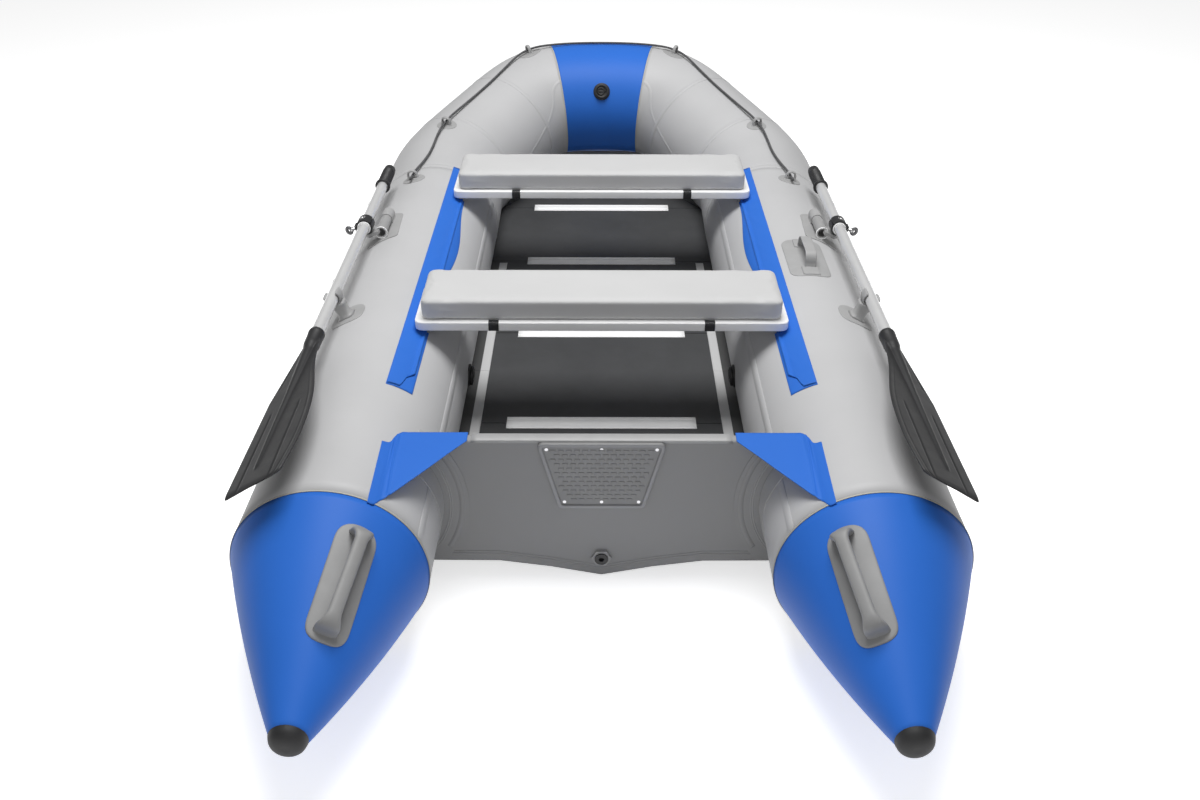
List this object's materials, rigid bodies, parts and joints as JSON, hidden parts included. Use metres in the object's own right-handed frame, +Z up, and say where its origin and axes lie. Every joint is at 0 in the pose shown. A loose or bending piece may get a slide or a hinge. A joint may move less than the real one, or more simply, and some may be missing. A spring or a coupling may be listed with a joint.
{
  "type": "inflatable dinghy",
  "caption": "Inflatable dinghy with raised bow, stern cones, plywood motor transom, slatted hard floor, sliding bench seats, grab lines and swivelling oars stowed along the tubes.",
  "frame": {"origin": "middle of the boat's box, on the ground plane that the keel guard stands on", "axes": "+Y towards the bow along the boat, +X to starboard, +Z up"},
  "size_m": [1.6062, 3.2982, 0.6369],
  "materials": {
    "grey_fabric": "semi-matt PVC-coated fabric",
    "blue_fabric": "semi-matt PVC-coated fabric",
    "bottom_fabric": "semi-matt PVC-coated fabric",
    "dark_trim": "matt rubber",
    "grey_patch": "matt moulded grey",
    "transom_grey": "grey coat on plywood",
    "motor_pad": "moulded grid face",
    "screw_steel": "stainless",
    "black_plastic": "moulded black",
    "grey_plastic": "moulded grey",
    "floor_film": "dark anti-slip film on plywood",
    "aluminium": "anodised extrusion",
    "seat_board_paint": "light grey painted plywood",
    "seat_cushion_fabric": "light grey coated fabric over foam",
    "black_rope": "braided rope"
  },
  "bodies": {
    "hull": {"port_side_tube": "grey_fabric", "starboard_side_tube": "grey_fabric", "port_bow_tube": "grey_fabric", "starboard_bow_tube": "grey_fabric", "bow_centre_tube": "blue_fabric", "stern_cones": "blue_fabric", "stern_cone_caps": "dark_trim", "chamber_baffles": "bottom_fabric", "bottom_skin": "bottom_fabric", "keel_tube": "bottom_fabric", "keel_guard_strip": "dark_trim", "transom_board": "transom_grey", "transom_collars": "grey_patch", "transom_gussets": "blue_fabric", "motor_pad_outer": "motor_pad", "motor_pad_inner": "motor_pad", "motor_pad_screws": "screw_steel", "drain_valve_body": "grey_patch", "stern_floor_panel": "floor_film", "rear_floor_panel": "floor_film", "middle_floor_panel": "floor_film", "forward_floor_panel": "floor_film", "bow_floor_panel": "floor_film", "floor_joint_profiles": "aluminium", "side_stringers": "aluminium", "seat_rails": "blue_fabric", "rubbing_strakes": "grey_patch", "stern_handles": "grey_patch", "carry_handle": "grey_patch", "grab_line_eyes": "grey_patch", "bow_grab_line": "black_rope", "side_grab_lines": "black_rope", "oarlock_bases": "grey_plastic", "oar_clips": "dark_trim", "valve_bodies": "black_plastic"},
    "starboard_oarlock": {"starboard_oarlock_swivel": "grey_plastic"},
    "starboard_oar": {"starboard_oarlock_clamp": "black_plastic", "starboard_oar_shaft": "aluminium", "starboard_oar_grip": "black_plastic", "starboard_oar_blade": "black_plastic"},
    "starboard_wing_screw": {"starboard_wing_screw": "screw_steel"},
    "port_oarlock": {"port_oarlock_swivel": "grey_plastic"},
    "port_oar": {"port_oarlock_clamp": "black_plastic", "port_oar_shaft": "aluminium", "port_oar_grip": "black_plastic", "port_oar_blade": "black_plastic"},
    "port_wing_screw": {"port_wing_screw": "screw_steel"},
    "rear_seat": {"rear_seat_board": "seat_board_paint", "rear_seat_cushion": "seat_cushion_fabric", "rear_seat_slides": "grey_plastic"},
    "front_seat": {"front_seat_board": "seat_board_paint", "front_seat_cushion": "seat_cushion_fabric", "front_seat_slides": "grey_plastic"},
    "drain_plug": {"drain_plug": "black_plastic"},
    "port_valve_cap": {"port_valve_cap": "black_plastic"},
    "port_valve_poppet": {"port_valve_poppet": "grey_plastic"},
    "starboard_valve_cap": {"starboard_valve_cap": "black_plastic"},
    "starboard_valve_poppet": {"starboard_valve_poppet": "grey_plastic"},
    "bow_valve_cap": {"bow_valve_cap": "black_plastic"},
    "bow_valve_poppet": {"bow_valve_poppet": "grey_plastic"}
  },
  "joints": [
    {"name": "starboard_oar_dip", "type": "hinge", "parent": "hull", "child": "starboard_oarlock", "pos_m": [0.65492, 0.10394, 0.44209], "axis": [0, -1, 0], "range_deg": [0, 30], "deforming": ["oar_clips"]},
    {"name": "starboard_oar_swing", "type": "hinge", "parent": "starboard_oarlock", "child": "starboard_oar", "pos_m": [0.69612, 0.04494, 0.47174], "axis": [0.309, 0, 0.9511], "range_deg": [0, 95], "deforming": ["oar_clips"]},
    {"name": "starboard_wing_screw_turn", "type": "hinge", "parent": "starboard_oar", "child": "starboard_wing_screw", "pos_m": [0.69551, 0.04494, 0.46984], "axis": [0.9511, 0, -0.309], "range_deg": [0, 360]},
    {"name": "port_oar_dip", "type": "hinge", "parent": "hull", "child": "port_oarlock", "pos_m": [-0.65492, 0.10394, 0.44209], "axis": [0, 1, 0], "range_deg": [0, 30], "deforming": ["oar_clips"]},
    {"name": "port_oar_swing", "type": "hinge", "parent": "port_oarlock", "child": "port_oar", "pos_m": [-0.69612, 0.04494, 0.47174], "axis": [0.309, 0, -0.9511], "range_deg": [0, 95], "deforming": ["oar_clips"]},
    {"name": "port_wing_screw_turn", "type": "hinge", "parent": "port_oar", "child": "port_wing_screw", "pos_m": [-0.69551, 0.04494, 0.46984], "axis": [-0.9511, 0, -0.309], "range_deg": [0, 360]},
    {"name": "rear_seat_slide", "type": "slide", "parent": "hull", "child": "rear_seat", "axis": [0, 1, 0], "range_m": [-0.2, 0.25]},
    {"name": "front_seat_slide", "type": "slide", "parent": "hull", "child": "front_seat", "axis": [0, 1, 0], "range_m": [-0.12, 0.08]},
    {"name": "drain_plug_turn", "type": "hinge", "parent": "hull", "child": "drain_plug", "pos_m": [0, -0.94906, 0.0598], "axis": [0, -1, 0], "range_deg": [0, 90]},
    {"name": "port_valve_cap_turn", "type": "hinge", "parent": "hull", "child": "port_valve_cap", "pos_m": [-0.3648, -0.37106, 0.2085], "axis": [0.9962, 0, -0.0872], "range_deg": [0, 90]},
    {"name": "port_valve_poppet_press", "type": "slide", "parent": "hull", "child": "port_valve_poppet", "axis": [-0.9962, 0, 0.0872], "range_m": [0, 0.006], "stiffness_N_per_m": 300, "springref_m": -0.006},
    {"name": "starboard_valve_cap_turn", "type": "hinge", "parent": "hull", "child": "starboard_valve_cap", "pos_m": [0.3648, -0.37106, 0.2085], "axis": [-0.9962, 0, -0.0872], "range_deg": [0, 90]},
    {"name": "starboard_valve_poppet_press", "type": "slide", "parent": "hull", "child": "starboard_valve_poppet", "axis": [0.9962, 0, 0.0872], "range_m": [0, 0.006], "stiffness_N_per_m": 300, "springref_m": -0.006},
    {"name": "bow_valve_cap_turn", "type": "hinge", "parent": "hull", "child": "bow_valve_cap", "pos_m": [0, 1.2291, 0.50221], "axis": [0, -0.9135, 0.4067], "range_deg": [0, 90]},
    {"name": "bow_valve_poppet_press", "type": "slide", "parent": "hull", "child": "bow_valve_poppet", "axis": [0, 0.9135, -0.4067], "range_m": [0, 0.006], "stiffness_N_per_m": 300, "springref_m": -0.006}
  ]
}
